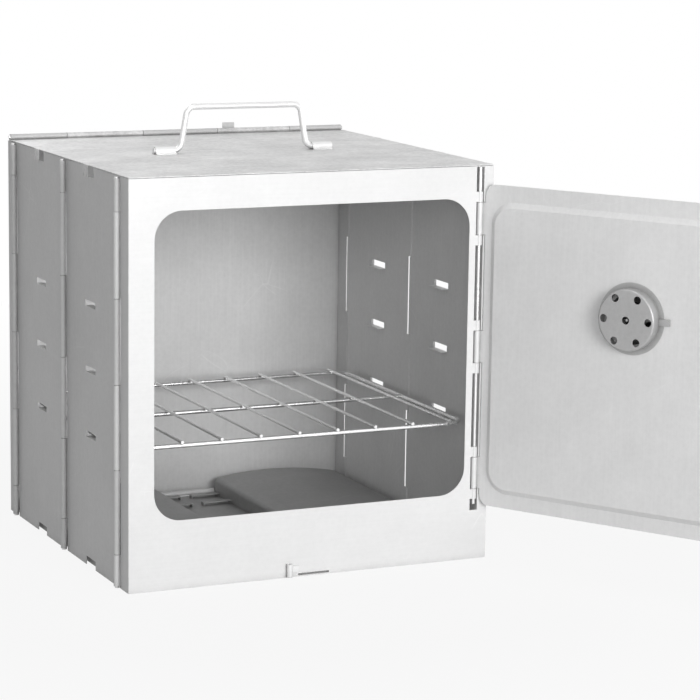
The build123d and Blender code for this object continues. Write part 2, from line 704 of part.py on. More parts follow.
bar_z = rack_z + rack_wire + rack_bar_radius - rack_bar_bite
bar_end = rack_half_depth + rack_wire + rack_bar_overhang
rack_bar = rod_y(0, bar_z, rack_bar_radius, -bar_end, bar_end)
bar_middle = (rack_bar_count - 1) / 2
rack_bars = [Pos((k - bar_middle) * rack_bar_pitch, 0, 0) * rack_bar for k in range(rack_bar_count)]
save("rack_bars", Compound(children=rack_bars))


# ---- Door ---------------------------------------------------------------------------------------
def door_plate(x_low, x_high, z_low, z_high, corner, y_low, y_high):
    """A rounded plate in the door's own frame: +X from the rod to the free edge, +Y outwards."""
    outline = RectangleRounded(x_high - x_low, z_high - z_low, corner)
    stand = Pos((x_low + x_high) / 2, y_high, (z_low + z_high) / 2) * Rot(90, 0, 0)
    return stand * extrude(outline, y_high - y_low)


def raised_field(inset, base_y):
    """The solid of the raised field, with sloped sides, from a base plane towards the oven."""
    width = emboss_end - emboss_start - 2 * inset
    height = emboss_top - emboss_bottom - 2 * inset
    outline = RectangleRounded(width, height, emboss_corner - inset)
    stand = Pos((emboss_start + emboss_end) / 2, base_y, (emboss_bottom + emboss_top) / 2) * Rot(90, 0, 0)
    return stand * extrude(outline, emboss_height, taper=emboss_slope)


slope_inset = sheet * math.tan(math.radians(45 - emboss_slope / 2))
door = door_plate(door_rim_start, door_reach, door_bottom, door_top, door_corner, door_inner, door_outer)
hem = door_plate(door_rim_start, door_reach, door_bottom, door_top, door_corner,
                 door_outer, door_outer + sheet)
hem -= door_plate(door_rim_start + door_hem_width, door_reach - door_hem_width, door_bottom + door_hem_width,
                  door_top - door_hem_width, door_corner - door_hem_width / 2, door_outer - sheet,
                  door_outer + 2 * sheet)
door += hem
door += raised_field(0, door_inner)
door -= raised_field(slope_inset, door_outer)
door -= Pos(gauge_reach, 0, gauge_height) * Rot(90, 0, 0) * Cylinder(
    gauge_hole_radius, 4 * door_barrel_radius)
door -= Pos(latch_reach, 0, latch_height) * Rot(90, 0, 0) * Cylinder(
    latch_spindle_radius + latch_clearance, 4 * door_barrel_radius)
for centre in door_knuckle_centres:
    low = centre - door_knuckle_length / 2
    high = centre + door_knuckle_length / 2
    door += block((0, door_rim_start + sheet), (door_inner, door_outer), (low, high))
    door += rod_z(0, 0, door_barrel_radius, low, high)
    door -= rod_z(0, 0, door_bore, low - sheet, high + sheet)
save("door_panel", door_place * door)


# ---- Door thermometer ---------------------------------------------------------------------------
def gauge_disc(radius, y_low, y_high):
    """A disc on the gauge's axis, between two depths of the door's own frame."""
    return Pos(0, (y_low + y_high) / 2, 0) * Rot(90, 0, 0) * Cylinder(radius, y_high - y_low)


guard_face = door_plateau - guard_depth
guard = gauge_disc(guard_radius, guard_face, door_plateau)
guard = fillet(guard.faces().sort_by(Axis.Y)[0].edges(), guard_rounding)
guard += gauge_disc(guard_flange_radius, door_plateau - guard_sheet, door_plateau)
guard -= gauge_disc(guard_radius - guard_sheet, guard_face + guard_sheet, door_plateau)
guard -= gauge_disc(guard_hole_radius, guard_face - guard_sheet, door_plateau)
for k in range(guard_hole_count):
    turn = math.radians(360 / guard_hole_count * k)
    hole = gauge_disc(guard_hole_radius, guard_face - guard_sheet, guard_face + 2 * guard_sheet)
    guard -= Pos(guard_hole_ring * math.cos(turn), 0, guard_hole_ring * math.sin(turn)) * hole
save("thermometer_guard", gauge_place * guard)

clip_y = (door_plateau - 3 * guard_sheet, door_plateau - guard_sheet)
clip_z = (-guard_clip_width / 2, guard_clip_width / 2)
clip_end = guard_radius + guard_clip_length
guard_clip = block((guard_radius, clip_end), clip_y, clip_z)
guard_clip += block((guard_flange_radius, clip_end), (clip_y[0], door_plateau), clip_z)
save("thermometer_guard_clip", gauge_place * guard_clip)

case_front = door_outer - emboss_height + case_depth
case_rear = door_outer - emboss_height
case = gauge_disc(case_radius, case_rear, case_front)
case -= gauge_disc(case_radius - case_wall, case_rear + case_back, case_front + sheet)
case -= gauge_disc(spindle_radius + latch_clearance, case_rear - sheet, case_front)
save("thermometer_case", gauge_place * case)

dial_rear = case_rear + case_back
dial = gauge_disc(case_radius - case_wall - dial_gap, dial_rear, dial_rear + dial_thickness)
dial -= gauge_disc(spindle_radius + latch_play, dial_rear - sheet, dial_rear + sheet)
save("thermometer_dial", gauge_place * dial)

lens_front = case_front - lens_inset
lens = gauge_disc(case_radius - case_wall, lens_front - lens_thickness, lens_front)
save("thermometer_lens", gauge_place * lens)

pointer_rear = dial_rear + dial_thickness + pointer_height
pointer_y = (pointer_rear, pointer_rear + pointer_thickness)
needle = make_face(Polyline(
    (-pointer_tail, -pointer_width), (0, -pointer_width / 2), (pointer_length, 0),
    (0, pointer_width / 2), (-pointer_tail, pointer_width), close=True))
pointer = Pos(0, pointer_y[1], 0) * Rot(90, 0, 0) * extrude(needle, pointer_thickness)
pointer += gauge_disc(pointer_hub_radius, pointer_rear, pointer_y[1])
pointer_turn = Rot(0, pointer_rest_angle, 0)
spindle = gauge_disc(spindle_radius, door_plateau - spindle_depth, pointer_rear)
save("thermometer_pointer", gauge_place * pointer_turn * pointer)
save("thermometer_spindle", gauge_place * spindle)


def spiral(offset, angle):
    """A point of the bimetal strip's edge."""
    radius = coil_inner_radius + coil_pitch * angle / (2 * math.pi) + offset
    return radius * math.cos(angle), radius * math.sin(angle)


coil_angles = [2 * math.pi / coil_steps * k for k in range(coil_steps * coil_turns + 1)]
coil_in = Spline(*[spiral(0, angle) for angle in coil_angles])
coil_out = Spline(*[spiral(coil_strip, angle) for angle in coil_angles])
coil_face = make_face([coil_in, Line(coil_in @ 1, coil_out @ 1), coil_out, Line(coil_out @ 0, coil_in @ 0)])
coil_rear = door_plateau - spindle_depth
coil = Pos(0, coil_rear + coil_width, 0) * Rot(90, 0, 0) * extrude(coil_face, coil_width)
coil_end = coil_inner_radius + coil_pitch * coil_turns
stub_z = (-coil_stub_width / 2, coil_stub_width / 2)
coil += block((coil_end, coil_end + coil_strip), (coil_rear, case_rear), stub_z)
save("thermometer_coil", gauge_place * coil)

# ---- Door latch ---------------------------------------------------------------------------------
latch_outside = door_outer - emboss_height + latch_play
latch_inside = door_plateau - latch_play
hub = gauge_disc(latch_hub_radius, latch_outside, latch_outside + latch_hub_height)
grip_y = (latch_outside + latch_hub_height, latch_outside + latch_hub_height + latch_handle_thickness)
grip = door_plate(-latch_handle_width / 2, latch_handle_width / 2, -latch_handle_length / 2,
                  latch_handle_length / 2, latch_handle_width / 2 - latch_play, *grip_y)
save("latch_handle", latch_place * (hub + grip))
tongue_y = (latch_inside - latch_tongue_thickness, latch_inside)
tongue = door_plate(-latch_tongue_width / 2, latch_tongue_width / 2, -latch_tongue_length,
                    latch_tongue_width / 2, latch_tongue_width / 2 - latch_play, *tongue_y)
save("latch_tongue", latch_place * tongue)
save("latch_spindle", latch_place * gauge_disc(latch_spindle_radius, latch_inside, latch_outside))
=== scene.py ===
import math
import bmesh
import bpy
from mathutils import Matrix, Vector


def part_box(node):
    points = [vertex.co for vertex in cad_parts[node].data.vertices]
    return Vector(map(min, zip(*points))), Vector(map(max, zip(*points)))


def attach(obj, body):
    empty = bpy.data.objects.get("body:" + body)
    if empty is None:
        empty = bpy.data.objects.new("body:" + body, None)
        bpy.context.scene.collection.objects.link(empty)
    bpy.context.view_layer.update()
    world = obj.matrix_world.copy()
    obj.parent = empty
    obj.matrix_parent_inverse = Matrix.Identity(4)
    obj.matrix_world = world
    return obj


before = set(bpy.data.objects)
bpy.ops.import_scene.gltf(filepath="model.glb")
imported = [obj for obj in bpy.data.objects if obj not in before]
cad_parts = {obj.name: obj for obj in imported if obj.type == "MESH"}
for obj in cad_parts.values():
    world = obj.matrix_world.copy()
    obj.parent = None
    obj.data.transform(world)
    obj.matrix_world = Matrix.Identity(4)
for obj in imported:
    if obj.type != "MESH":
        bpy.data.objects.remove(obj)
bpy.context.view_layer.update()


# ---- Camera -------------------------------------------------------------------------------------
# A long lens to the front left of the oven, a little above its top panel and rolled very slightly.
# Its place is in metres, its lens and sensor in millimetres.
cam_place = Vector((-0.8376, -2.0184, 0.5505))
cam_azimuth = math.radians(-24.86)
cam_elevation = math.radians(10.25)
cam_roll = math.radians(0.85)
lens_length = 138.92
sensor_width = 36.0
view_limit = 50.0


def put_in_scene(name, data):
    """Makes an object of some data and links it."""
    made = bpy.data.objects.new(name, data)
    bpy.context.scene.collection.objects.link(made)
    return made


forward = Vector((-math.sin(cam_azimuth) * math.cos(cam_elevation),
                  math.cos(cam_azimuth) * math.cos(cam_elevation), -math.sin(cam_elevation)))
level = forward.cross(Vector((0, 0, 1))).normalized()
rise = level.cross(forward)
cam_right = math.cos(cam_roll) * level + math.sin(cam_roll) * rise
cam_up = -math.sin(cam_roll) * level + math.cos(cam_roll) * rise
camera_data = bpy.data.cameras.new("camera")
camera_data.sensor_width = sensor_width
camera_data.lens = lens_length
camera_data.clip_end = view_limit
camera = put_in_scene("camera", camera_data)
turn = Matrix((cam_right, cam_up, -forward)).transposed().to_4x4()
camera.matrix_world = Matrix.Translation(cam_place) @ turn
bpy.context.scene.camera = camera


# ---- Light and floor ----------------------------------------------------------------------------
# A broad soft light from the front that reaches inside, weaker ones all round, and an even
# surround, over a wide floor that keeps the oven's shadow and runs out to plain white.
fill_grey = 0.80
fill_strength = 0.13
lamp_aim = Vector((0, 0, 0.16))
lamps = (                    # name, place, side of the square, power in watts
    ("side_lamp", (-0.78, -1.75, 0.70), 0.5, 6.5),
    ("front_lamp", (0.20, -2.2, 0.56), 0.9, 26),
    ("top_lamp", (-0.15, -0.25, 1.80), 1.0, 5),
    ("right_lamp", (2.10, 0.20, 0.80), 1.0, 13),
    ("rear_lamp", (-0.12, 1.90, 1.10), 0.9, 13))
floor_radius = 14.0
floor_drop = 0.0003          # below the oven's lowest edge
floor_grey = 0.45
glow_near = 0.35             # distance from the middle where the white share starts to rise
glow_far = 1.2
glow_near_share = 0.90


def shader_node(tree, kind, **settings):
    """Adds one shader node, with its properties set."""
    made = tree.nodes.new("ShaderNode" + kind)
    for name, value in settings.items():
        setattr(made, name, value)
    return made


def ramp_of(tree, source, low, high, to_low=0.0, to_high=1.0):
    """Value stretched from one range to another, and held inside it."""
    ramp = shader_node(tree, "MapRange", clamp=True)
    limits = {"From Min": low, "From Max": high, "To Min": to_low, "To Max": to_high}
    for label, value in limits.items():
        ramp.inputs[label].default_value = value
    tree.links.new(source, ramp.inputs["Value"])
    return ramp.outputs["Result"]


def product_of(tree, first, second):
    """Product of two masks."""
    times = shader_node(tree, "Math", operation="MULTIPLY")
    tree.links.new(first, times.inputs[0])
    tree.links.new(second, times.inputs[1])
    return times.outputs[0]


def seen_directly(tree):
    """1 for rays from the camera, off metal or through glass, and 0 for those that carry light."""
    path = shader_node(tree, "LightPath")
    total = path.outputs["Is Camera Ray"]
    for kind in ("Is Glossy Ray", "Is Transmission Ray"):
        join = shader_node(tree, "Math", operation="ADD", use_clamp=True)
        tree.links.new(total, join.inputs[0])
        tree.links.new(path.outputs[kind], join.inputs[1])
        total = join.outputs[0]
    return total


def mesh_of(name, b):
    """Makes a finished bmesh into a mesh."""
    made = bpy.data.meshes.new(name)
    b.to_mesh(made)
    b.free()
    return made


world = bpy.data.worlds.new("studio")
world.use_nodes = True
sky_tree = world.node_tree
sky_tree.nodes.clear()
sky = shader_node(sky_tree, "Background")
sky.inputs["Color"].default_value = (fill_grey, fill_grey, fill_grey, 1)
sky.inputs["Strength"].default_value = fill_strength
surround = shader_node(sky_tree, "Background")
surround.inputs["Color"].default_value = (1, 1, 1, 1)
surround.inputs["Strength"].default_value = 1.0
sky_mix = shader_node(sky_tree, "MixShader")
sky_out = shader_node(sky_tree, "OutputWorld")
sky_tree.links.new(seen_directly(sky_tree), sky_mix.inputs[0])
sky_tree.links.new(sky.outputs[0], sky_mix.inputs[1])
sky_tree.links.new(surround.outputs[0], sky_mix.inputs[2])
sky_tree.links.new(sky_mix.outputs[0], sky_out.inputs[0])
bpy.context.scene.world = world
bpy.context.scene.view_settings.view_transform = "Standard"

for name, place, size, power in lamps:
    lamp = bpy.data.lights.new(name, "AREA")
    lamp.size = size
    lamp.energy = power
    stand = put_in_scene(name, lamp)
    stand.location = place
    stand.rotation_euler = (lamp_aim - Vector(place)).to_track_quat("-Z", "Y").to_euler()

b = bmesh.new()
bmesh.ops.create_circle(b, cap_ends=True, segments=96, radius=floor_radius,
                        matrix=Matrix.Translation((0, 0, -floor_drop)))
floor_mesh = mesh_of("studio_floor", b)
studio_floor = put_in_scene("studio_floor", floor_mesh)
floor_paint = bpy.data.materials.new("studio_floor")
floor_paint.use_nodes = True
floor_tree = floor_paint.node_tree
floor_tree.nodes.clear()
matt = shader_node(floor_tree, "BsdfDiffuse")
matt.inputs["Color"].default_value = (floor_grey, floor_grey, floor_grey, 1)
glow = shader_node(floor_tree, "Emission")
glow.inputs["Color"].default_value = (1, 1, 1, 1)
from_centre = shader_node(floor_tree, "VectorMath", operation="LENGTH")
floor_tree.links.new(shader_node(floor_tree, "TexCoord").outputs["Object"], from_centre.inputs[0])
whiter = ramp_of(floor_tree, from_centre.outputs["Value"], glow_near, glow_far, glow_near_share)
floor_mix = shader_node(floor_tree, "MixShader")
floor_out = shader_node(floor_tree, "OutputMaterial")
floor_tree.links.new(product_of(floor_tree, seen_directly(floor_tree), whiter), floor_mix.inputs[0])
floor_tree.links.new(matt.outputs[0], floor_mix.inputs[1])
floor_tree.links.new(glow.outputs[0], floor_mix.inputs[2])
floor_tree.links.new(floor_mix.outputs[0], floor_out.inputs[0])
floor_mesh.materials.append(floor_paint)


# ---- Front frame --------------------------------------------------------------------------------
# The front pan is pressed from aluminised sheet steel: a dull silver skin with a cloudy mottle,
# faint rolling streaks, light handling scuffs, and bare bright metal along its cut edges.
spangle_scale = 260.0        # this and the noise scales are in cells per metre
scratch_scale = 21.0
bend_scale = 9.0
scratch_bend = 0.05          # how far a scratch wanders, in metres
edge_radius = 0.0005         # rounding that shows as a worn edge
seam_shade_reach = 0.007           # how far the painted shade spreads out of a corner
# Colour of the painted shade in corners, under barrels and round rivets.
seam_shade_colour = (0.11, 0.108, 0.104)
scuff_lift = 0.16            # a scratch over the sheet's own tone
scuff_depth = -0.5           # and below its surface, as a share of the relief
rub_share = 0.55
smoother_by = 0.07           # how far roughness drops below its mean, and rises above it
rougher_by = 0.08
relief_depth = 0.0004
level_grain = (0.25, 9.0, 9.0)


def finish_group(name, inputs, outputs):
    """Starts a node group with named sockets, and returns it with its input and output nodes."""
    group = bpy.data.node_groups.new(name, "ShaderNodeTree")
    for label, kind in inputs:
        group.interface.new_socket(label, in_out="INPUT", socket_type="NodeSocket" + kind)
    for label in outputs:
        group.interface.new_socket(label, in_out="OUTPUT", socket_type="NodeSocketFloat")
    return group, group.nodes.new("NodeGroupInput"), group.nodes.new("NodeGroupOutput")


def blend_of(tree, shares):
    """Weighted sum of several values, given as pairs of a value and its weight."""
    total = None
    for source, weight in shares:
        step = shader_node(tree, "Math", operation="MULTIPLY_ADD")
        step.inputs[1].default_value = weight
        step.inputs[2].default_value = 0.0
        tree.links.new(source, step.inputs[0])
        if total is not None:
            tree.links.new(total, step.inputs[2])
        total = step.outputs[0]
    return total


def noise_of(tree, place, scale, detail):
    """Noise texture value at a scale in cycles per metre."""
    grain = shader_node(tree, "TexNoise")
    grain.inputs["Scale"].default_value = scale
    grain.inputs["Detail"].default_value = detail
    tree.links.new(place, grain.inputs["Vector"])
    return grain.outputs["Fac"]


# Mill skin: cloud and spangle of the hot-dip coat, streaks along the rolling direction, and a
# fine speckle.
mill_skin, skin_in, skin_out = finish_group(
    "mill_skin", [("Place", "Vector"), ("Rolled", "Vector")], ["Tone", "Gloss", "Height"])
skin_place = skin_in.outputs["Place"]
spangle = shader_node(mill_skin, "TexVoronoi", feature="F1")
spangle.inputs["Scale"].default_value = spangle_scale
mill_skin.links.new(skin_place, spangle.inputs["Vector"])
skin_cloud = noise_of(mill_skin, skin_place, scale=30.0, detail=5.0)
skin_streak = noise_of(mill_skin, skin_in.outputs["Rolled"], scale=70.0, detail=4.0)
skin_speck = noise_of(mill_skin, skin_place, scale=900.0, detail=2.0)
skin_drift = noise_of(mill_skin, skin_place, scale=7.0, detail=2.0)
skin_tone = blend_of(mill_skin, [(skin_cloud, 0.34), (spangle.outputs["Distance"], 0.14),
                                 (skin_streak, 0.26), (skin_speck, 0.16), (skin_drift, 0.12)])
mill_skin.links.new(ramp_of(mill_skin, skin_tone, low=0.33, high=0.66), skin_out.inputs["Tone"])
skin_gloss = blend_of(mill_skin, [(skin_drift, 0.5), (skin_streak, 0.3), (skin_speck, 0.2)])
mill_skin.links.new(ramp_of(mill_skin, skin_gloss, low=0.32, high=0.68), skin_out.inputs["Gloss"])
skin_height = blend_of(mill_skin, [(skin_streak, 0.5), (skin_speck, 0.35),
                                   (spangle.outputs["Distance"], 0.15)])
mill_skin.links.new(skin_height, skin_out.inputs["Height"])

# Handling scuffs: a sparse net of hair scratches, only where a broad cloud lets them show.
scuffs, scuff_in, scuff_out = finish_group("scuffs", [("Place", "Vector")], ["Mask"])
scuff_place = scuff_in.outputs["Place"]
bent = shader_node(scuffs, "TexNoise")
bent.inputs["Scale"].default_value = bend_scale
bent_place = shader_node(scuffs, "VectorMath", operation="MULTIPLY_ADD")
bent_place.inputs[1].default_value = (scratch_bend, scratch_bend, scratch_bend)
scratch = shader_node(scuffs, "TexVoronoi", feature="DISTANCE_TO_EDGE")
scratch.inputs["Scale"].default_value = scratch_scale
scuffs.links.new(scuff_place, bent.inputs["Vector"])
scuffs.links.new(bent.outputs["Color"], bent_place.inputs[0])
scuffs.links.new(scuff_place, bent_place.inputs[2])
scuffs.links.new(bent_place.outputs[0], scratch.inputs["Vector"])
hairline = ramp_of(scuffs, scratch.outputs["Distance"], low=0.0, high=0.008, to_low=1.0, to_high=0.0)
where = ramp_of(scuffs, noise_of(scuffs, scuff_place, scale=15.0, detail=3.0), low=0.56, high=0.66)
scuffs.links.new(product_of(scuffs, hairline, where), scuff_out.inputs["Mask"])

# Rubbed edges: where a rounded normal leaves the true one, the coat is worn to bright metal.
rubbed, rub_in, rub_out = finish_group("rubbed_edges", [("Radius", "Float")], ["Mask"])
rounded = shader_node(rubbed, "Bevel", samples=4)
true_face = shader_node(rubbed, "NewGeometry")
facing = shader_node(rubbed, "VectorMath", operation="DOT_PRODUCT")
rubbed.links.new(rub_in.outputs["Radius"], rounded.inputs["Radius"])
rubbed.links.new(rounded.outputs["Normal"], facing.inputs[0])
rubbed.links.new(true_face.outputs["True Normal"], facing.inputs[1])
worn = ramp_of(rubbed, facing.outputs["Value"], low=0.80, high=0.97, to_low=1.0, to_high=0.0)
rubbed.links.new(worn, rub_out.inputs["Mask"])

# Seam shade: painted shade in corners, under barrels and round rivets, darkest where a point is most
# hidden, broken into patches by a noise.
painted_seam_shade, shade_in, shade_out = finish_group(
    "painted_seam_shade", [("Place", "Vector"), ("Reach", "Float")], ["Mask"])
hidden = shader_node(painted_seam_shade, "AmbientOcclusion", samples=4)
painted_seam_shade.links.new(shade_in.outputs["Reach"], hidden.inputs["Distance"])
corner = ramp_of(painted_seam_shade, hidden.outputs["AO"], low=0.25, high=0.85, to_low=1.0, to_high=0.0)
shade_breakup = noise_of(painted_seam_shade, shade_in.outputs["Place"], scale=120.0, detail=3.0)
patchy = ramp_of(painted_seam_shade, shade_breakup, low=0.3, high=0.7, to_low=0.55, to_high=1.0)
painted_seam_shade.links.new(product_of(painted_seam_shade, corner, patchy), shade_out.inputs["Mask"])


def use_group(tree, group, **links):
    """Places a finish group, with its sockets linked or set."""
    placed = tree.nodes.new("ShaderNodeGroup")
    placed.node_tree = group
    for label, value in links.items():
        if isinstance(value, (int, float)):
            placed.inputs[label].default_value = value
        else:
            tree.links.new(value, placed.inputs[label])
    return placed


def tint_of(tree, mask, under, over, share=1.0):
    """Mixes a colour over another by a mask. Either is three numbers or a node's output."""
    part = shader_node(tree, "Math", operation="MULTIPLY")
    part.inputs[1].default_value = share
    tree.links.new(mask, part.inputs[0])
    mix = shader_node(tree, "Mix", data_type="RGBA")
    tree.links.new(part.outputs[0], mix.inputs["Factor"])
    for label, value in (("A", under), ("B", over)):
        colour = [s for s in mix.inputs if s.name == label and s.type == "RGBA"][0]
        if isinstance(value, tuple):
            colour.default_value = (*value, 1)
        else:
            tree.links.new(value, colour)
    return [s for s in mix.outputs if s.type == "RGBA"][0]


def grey(level):
    """A neutral colour, at most white."""
    return (min(1.0, level),) * 3


def metal_finish(name, tone, spread, stretch, rough, metallic, bump, scuff_share, rub_level, seam_shade_share):
    """A metal skin: tone and its spread, rolling stretch per axis, mean roughness, its wear, and painted
    shade in its seams.
    """
    finish = bpy.data.materials.new(name)
    finish.use_nodes = True
    tree = finish.node_tree
    skin = tree.nodes["Principled BSDF"]
    place = shader_node(tree, "TexCoord").outputs["Object"]
    rolled = shader_node(tree, "Mapping")
    rolled.inputs["Scale"].default_value = stretch
    tree.links.new(place, rolled.inputs["Vector"])
    mill = use_group(tree, mill_skin, Place=place, Rolled=rolled.outputs[0])
    scuff = use_group(tree, scuffs, Place=place)
    rub = use_group(tree, rubbed, Radius=edge_radius)
    seam_shade = use_group(tree, painted_seam_shade, Place=place, Reach=seam_shade_reach)
    colour = tint_of(tree, mill.outputs["Tone"], grey(tone - spread), grey(tone + spread))
    colour = tint_of(tree, scuff.outputs["Mask"], colour, grey(tone + scuff_lift), scuff_share)
    colour = tint_of(tree, rub.outputs["Mask"], colour, grey(rub_level), rub_share)
    # Painted shade in corners and seams darkens the colour here.
    colour = tint_of(tree, seam_shade.outputs["Mask"], colour, seam_shade_colour, seam_shade_share)
    tree.links.new(colour, skin.inputs["Base Color"])
    gloss = ramp_of(tree, mill.outputs["Gloss"], 0.0, 1.0, rough - smoother_by, rough + rougher_by)
    tree.links.new(gloss, skin.inputs["Roughness"])
    relief = blend_of(tree, [(mill.outputs["Height"], 1.0), (scuff.outputs["Mask"], scuff_depth)])
    raised = shader_node(tree, "Bump")
    raised.inputs["Strength"].default_value = bump
    raised.inputs["Distance"].default_value = relief_depth
    tree.links.new(relief, raised.inputs["Height"])
    tree.links.new(raised.outputs["Normal"], skin.inputs["Normal"])
    skin.inputs["Metallic"].default_value = metallic
    return finish


def dress(finish, *nodes):
    """Gives CAD nodes a finish."""
    for name in nodes:
        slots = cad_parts[name].data.materials
        slots.clear()
        slots.append(finish)


front_finish = metal_finish("front_sheet", tone=0.82, spread=0.03, stretch=level_grain, rough=0.48,
                            metallic=0.12, bump=0.10, scuff_share=0.5, rub_level=0.95, seam_shade_share=0.4)
dress(front_finish, "front_frame")


# ---- Side walls ---------------------------------------------------------------------------------
# Each wall leaf is the same aluminised sheet, rolled upright, with rack ledges lanced out of it and
# hinge barrels curled from its upright edges.
upright_grain = (9.0, 9.0, 0.25)
wall_finish = metal_finish("wall_sheet", tone=0.72, spread=0.045, stretch=upright_grain, rough=0.48,
                           metallic=0.10, bump=0.12, scuff_share=0.6, rub_level=0.90, seam_shade_share=0.5)
dress(wall_finish, "left_front_wall", "left_rear_wall", "right_front_wall", "right_rear_wall")


# ---- Back and top panels ------------------------------------------------------------------------
# The back pan is the plain sheet, pressed like the front. The top panel, hinged on the back, shows
# the coat's mottle most, streaked side to side.
top_grain = (0.22, 4.0, 4.0)
# The back sheet's tone sits a little below the walls' as painted shade for the inside of the oven; the
# lid stop tab shares it.
shaded_back_finish = metal_finish("back_sheet", tone=0.66, spread=0.05, stretch=upright_grain, rough=0.48,
                           metallic=0.12, bump=0.10, scuff_share=0.5, rub_level=0.88, seam_shade_share=0.5)
top_finish = metal_finish("top_sheet", tone=0.72, spread=0.24, stretch=top_grain, rough=0.44,
                          metallic=0.15, bump=0.45, scuff_share=0.5, rub_level=0.92, seam_shade_share=0.6)
dress(shaded_back_finish, "back_panel", "lid_stop_tab")
dress(top_finish, "top_panel")


# ---- Bottom panel, heat baffles and rivets ------------------------------------------------------
# The floor sheet and its two crowned baffles get a much darker tone than the rest, as painted shade for
# the inside of the oven.
# Bright steel rivets hold the baffles down.
floor_grain = (9.0, 0.30, 9.0)
even_grain = (9.0, 9.0, 9.0)
# The low tone of this finish is painted shade for the inside of the oven.
floor_shade_finish = metal_finish("floor_sheet", tone=0.35, spread=0.05, stretch=floor_grain, rough=0.46,
                            metallic=0.20, bump=0.16, scuff_share=0.7, rub_level=0.72, seam_shade_share=0.8)
rivet_finish = metal_finish("rivet_steel", tone=0.66, spread=0.05, stretch=even_grain, rough=0.30,
                            metallic=0.9, bump=0.10, scuff_share=0.3, rub_level=0.85, seam_shade_share=0.7)
dress(floor_shade_finish, "bottom_panel", "left_heat_baffle", "right_heat_baffle")
dress(rivet_finish, "baffle_rivets")


# ---- Hinge pins ---------------------------------------------------------------------------------
# Drawn steel wire, with die lines along its length, pushed through the barrels and headed at both
# ends. The door's rod is the same wire.
die_lines_upright = (30.0, 30.0, 0.3)
die_lines_level = (0.3, 30.0, 30.0)
upright_wire = metal_finish("pin_wire", tone=0.80, spread=0.05, stretch=die_lines_upright, rough=0.30,
                            metallic=0.9, bump=0.10, scuff_share=0.3, rub_level=0.92, seam_shade_share=0.7)
level_wire = metal_finish("level_pin_wire", tone=0.80, spread=0.05, stretch=die_lines_level, rough=0.30,
                          metallic=0.9, bump=0.10, scuff_share=0.3, rub_level=0.92, seam_shade_share=0.7)
for side in ("left", "right"):
    for corner in ("front", "middle", "rear"):
        dress(upright_wire, f"{side}_{corner}_hinge_pin")
dress(upright_wire, "door_hinge_rod")
dress(level_wire, "top_hinge_pin", "bottom_hinge_pin")


# ---- Rack ---------------------------------------------------------------------------------------
# Plated wire: nine bars resistance-welded across a round-cornered frame, with a small squeezed bead
# where each bar crosses the front, middle and rear wires.
rack_finish = metal_finish("rack_wire", tone=0.86, spread=0.05, stretch=even_grain, rough=0.24,
                           metallic=0.9, bump=0.06, scuff_share=0.2, rub_level=0.95, seam_shade_share=0.6)
dress(rack_finish, "rack_frame", "rack_bars")

bar_radius = 0.0013
frame_wire = 0.0018
bar_count = 9
bead_size = 0.0014
bead_squash = 0.45           # height of a bead over its width
bars_low, bars_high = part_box("rack_bars")
wires_low, wires_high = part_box("rack_frame")
bar_first = bars_low[0] + bar_radius
bar_pitch = (bars_high[0] - bars_low[0] - 2 * bar_radius) / (bar_count - 1)
flat = Matrix.Diagonal((1.0, 1.0, bead_squash, 1.0))
b = bmesh.new()
front_wire = wires_low[1] + frame_wire
middle_wire = (wires_low[1] + wires_high[1]) / 2
rear_wire = wires_high[1] - frame_wire
for wire_y in (front_wire, middle_wire, rear_wire):
    for k in range(bar_count):
        at = Matrix.Translation((bar_first + bar_pitch * k, wire_y, wires_high[2]))
        bmesh.ops.create_icosphere(b, subdivisions=2, radius=bead_size, matrix=at @ flat)
bmesh.ops.recalc_face_normals(b, faces=b.faces)
for face in b.faces:
    face.smooth = True
bead_mesh = mesh_of("rack_welds", b)
rack_welds = put_in_scene("rack_welds", bead_mesh)
weld_finish = metal_finish("weld_bead", tone=0.74, spread=0.08, stretch=even_grain, rough=0.36,
                           metallic=0.9, bump=0.20, scuff_share=0.2, rub_level=0.80, seam_shade_share=0.8)
bead_mesh.materials.append(weld_finish)
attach(rack_welds, "rack")


# ---- Handle and front catch ---------------------------------------------------------------------
# A bright plated wire bail, held by two saddle straps welded to the top panel. The curled catch
# strip, welded to the foot of the front pan, is the same steel as the straps.
strap_grain = (0.3, 9.0, 9.0)
handle_finish = metal_finish("handle_wire", tone=0.86, spread=0.03, stretch=even_grain, rough=0.34,
                             metallic=0.35, bump=0.05, scuff_share=0.2, rub_level=0.90, seam_shade_share=0.5)
clip_finish = metal_finish("clip_steel", tone=0.84, spread=0.04, stretch=strap_grain, rough=0.36,
                           metallic=0.45, bump=0.10, scuff_share=0.4, rub_level=0.95, seam_shade_share=0.6)
dress(handle_finish, "handle_bail")
dress(clip_finish, "left_handle_clip", "right_handle_clip", "front_catch")


# ---- Door ---------------------------------------------------------------------------------------
# A hemmed door sheet with a pressed raised field, swung on its rod. It has the same aluminised
# finish, rolled upright and less scuffed.
door_grain = (7.0, 7.0, 0.35)
door_finish = metal_finish("door_sheet", tone=0.83, spread=0.045, stretch=door_grain, rough=0.48,
                           metallic=0.12, bump=0.12, scuff_share=0.25, rub_level=1.00, seam_shade_share=0.6)
dress(door_finish, "door_panel")


